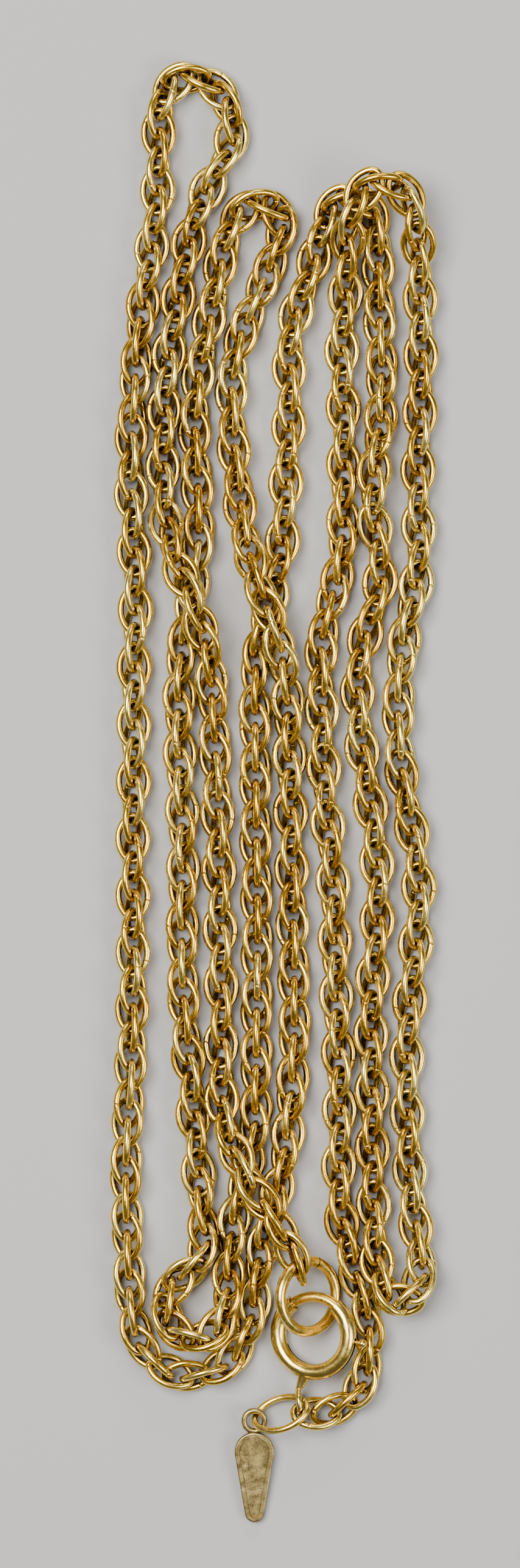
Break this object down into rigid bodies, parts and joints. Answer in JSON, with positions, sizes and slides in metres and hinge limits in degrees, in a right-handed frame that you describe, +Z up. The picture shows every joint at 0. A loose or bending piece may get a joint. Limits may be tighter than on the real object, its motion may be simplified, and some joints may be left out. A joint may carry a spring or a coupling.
{
  "type": "rope chain necklace",
  "caption": "Gold-tone loose-rope neck chain laid folded in parallel runs, closed by a spring ring clasp through a jump ring, with a plain drop-shaped hang tag.",
  "frame": {"origin": "middle of the folded chain's bounding box in plan, on the table it lies on", "axes": "+Y along the folded runs towards the folds away from the clasp, +Z up from the table, +X to the right with the clasp towards -Y"},
  "size_m": [0.0324, 0.144, 0.0073],
  "materials": {
    "chain_gold": "bright gold-tone plating",
    "ring_gold": "bright gold-tone plating",
    "clasp_gold": "bright gold-tone plating",
    "bolt_gold": "gold-tone plating, slightly worn",
    "spring_steel": "plain spring wire",
    "tag_brass": "satin, duller than the chain"
  },
  "bodies": {
    "hank": {"chain_links_01": "chain_gold", "chain_links_02": "chain_gold", "chain_links_03": "chain_gold", "chain_links_04": "chain_gold", "chain_links_05": "chain_gold", "chain_links_06": "chain_gold", "chain_links_07": "chain_gold", "chain_links_08": "chain_gold", "chain_links_09": "chain_gold", "chain_links_10": "chain_gold", "chain_links_11": "chain_gold", "chain_links_12": "chain_gold", "chain_links_13": "chain_gold", "chain_links_14": "chain_gold", "chain_links_15": "chain_gold", "chain_links_16": "chain_gold", "chain_links_17": "chain_gold", "chain_links_18": "chain_gold", "chain_links_19": "chain_gold", "chain_links_20": "chain_gold", "chain_links_21": "chain_gold", "chain_links_22": "chain_gold", "chain_links_23": "chain_gold", "chain_links_24": "chain_gold", "chain_links_25": "chain_gold", "chain_links_26": "chain_gold", "chain_links_27": "chain_gold", "chain_links_28": "chain_gold", "chain_links_29": "chain_gold", "chain_links_30": "chain_gold", "chain_links_31": "chain_gold", "chain_links_32": "chain_gold", "chain_links_33": "chain_gold", "chain_links_34": "chain_gold", "chain_links_35": "chain_gold", "chain_links_36": "chain_gold", "chain_links_37": "chain_gold", "chain_links_38": "chain_gold", "chain_links_39": "chain_gold", "chain_links_40": "chain_gold", "chain_links_41": "chain_gold", "chain_links_42": "chain_gold", "chain_links_43": "chain_gold", "chain_links_44": "chain_gold", "jump_ring_end_links": "chain_gold", "clasp_end_links": "chain_gold"},
    "clasp": {"clasp_tube": "clasp_gold", "clasp_tail_eyelet": "clasp_gold", "clasp_spring": "spring_steel", "clasp_spring_stop": "clasp_gold"},
    "bolt": {"clasp_bolt": "bolt_gold", "clasp_thumb_lever": "bolt_gold"},
    "jump_ring_body": {"jump_ring": "ring_gold"},
    "tag_ring_body": {"tag_ring": "ring_gold"},
    "tag_body": {"hang_tag": "tag_brass"}
  },
  "joints": [
    {"name": "bolt_draw", "type": "hinge", "parent": "clasp", "child": "bolt", "pos_m": [0.00385, -0.05333, 0.00236], "axis": [-0.3746, 0, 0.9272], "range_deg": [-55, 0], "stiffness_Nm_per_rad": 0.003, "springref_deg": 34.38, "deforming": ["clasp_spring"]},
    {"name": "clasp_lift", "type": "hinge", "parent": "hank", "child": "clasp", "pos_m": [0.00245, -0.06003, 0.00201], "axis": [0.995, 0.0995, 0], "range_deg": [0, 12]},
    {"name": "jump_ring_tilt", "type": "hinge", "parent": "hank", "child": "jump_ring_body", "pos_m": [0.00202, -0.04652, 0.00405], "axis": [1, 0, 0], "range_deg": [-8, 0]},
    {"name": "tag_ring_swing", "type": "hinge", "parent": "hank", "child": "tag_ring_body", "pos_m": [0.00236, -0.0591, 0.00134], "axis": [-0.058, 0.585, 0.809], "range_deg": [0, 20]},
    {"name": "tag_swing", "type": "hinge", "parent": "tag_ring_body", "child": "tag_body", "pos_m": [-0.00195, -0.06193, 0.00146], "axis": [0, -0.1, 0.995], "range_deg": [-20, 25]}
  ]
}
